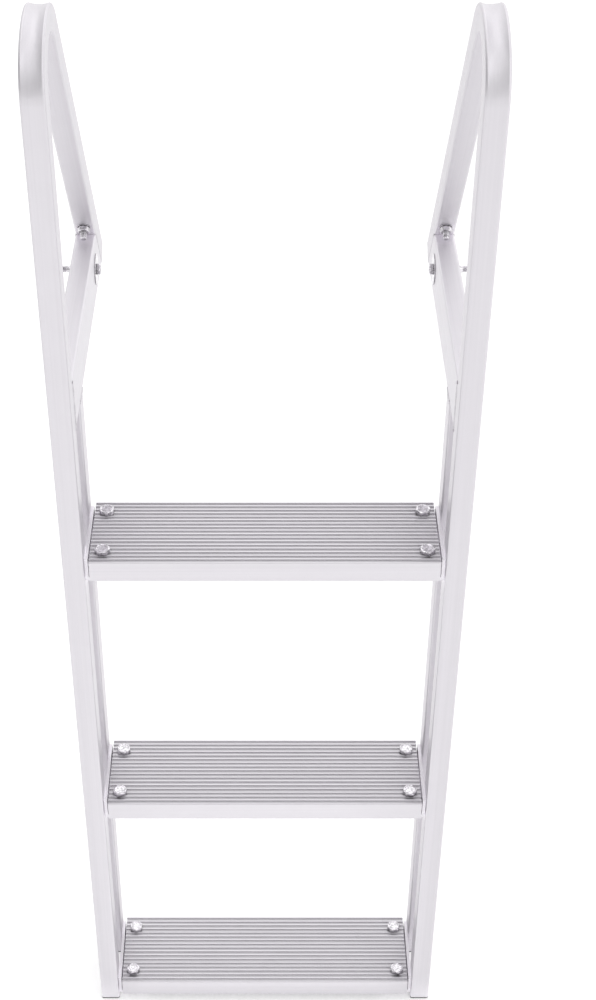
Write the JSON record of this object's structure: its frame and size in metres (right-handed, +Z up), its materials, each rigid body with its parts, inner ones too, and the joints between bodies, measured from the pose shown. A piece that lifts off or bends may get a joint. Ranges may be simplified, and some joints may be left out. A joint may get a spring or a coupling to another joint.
{
  "type": "dock ladder",
  "caption": "Aluminium dock ladder of welded rectangular tube with looped hand rails, deck beams and bolted ribbed treads.",
  "frame": {"origin": "underside of the left deck beam, in the middle of its width, in line with the dock's side face", "axes": "+X from the left side frame to the right one, +Y inland over the deck, +Z up"},
  "size_m": [0.5252, 0.4239, 1.4157],
  "materials": {
    "rail_tube": "satin, fine lines along the tube",
    "tread": "satin extrusion with fine ribs",
    "bracket": "satin extrusion",
    "fastener": "bright stainless steel",
    "end_cap": "moulded grey plastic"
  },
  "bodies": {
    "root": {"hand_rail_left": "rail_tube", "hand_rail_right": "rail_tube", "deck_beam_left": "rail_tube", "deck_beam_right": "rail_tube", "rear_rail_left": "rail_tube", "rear_rail_right": "rail_tube", "front_foot_cap_left": "end_cap", "front_foot_cap_right": "end_cap", "rear_foot_cap_left": "end_cap", "rear_foot_cap_right": "end_cap", "leg_cap_left": "end_cap", "leg_cap_right": "end_cap", "leg_bolt_left": "fastener", "leg_bolt_right": "fastener", "leg_washers_left": "fastener", "leg_washers_right": "fastener", "leg_nut_left": "fastener", "leg_nut_right": "fastener", "cross_bolt_left": "fastener", "cross_bolt_right": "fastener", "cross_washer_left": "fastener", "cross_washer_right": "fastener", "tread_top": "tread", "tread_bolts_top": "fastener", "tread_nuts_top": "fastener", "bracket_top_left": "bracket", "bracket_top_right": "bracket", "rail_screws_top": "fastener", "tread_middle": "tread", "tread_bolts_middle": "fastener", "tread_nuts_middle": "fastener", "bracket_middle_left": "bracket", "bracket_middle_right": "bracket", "rail_screws_middle": "fastener", "tread_bottom": "tread", "tread_bolts_bottom": "fastener", "tread_nuts_bottom": "fastener", "bracket_bottom_left": "bracket", "bracket_bottom_right": "bracket", "rail_screws_bottom": "fastener"}
  },
  "joints": []
}
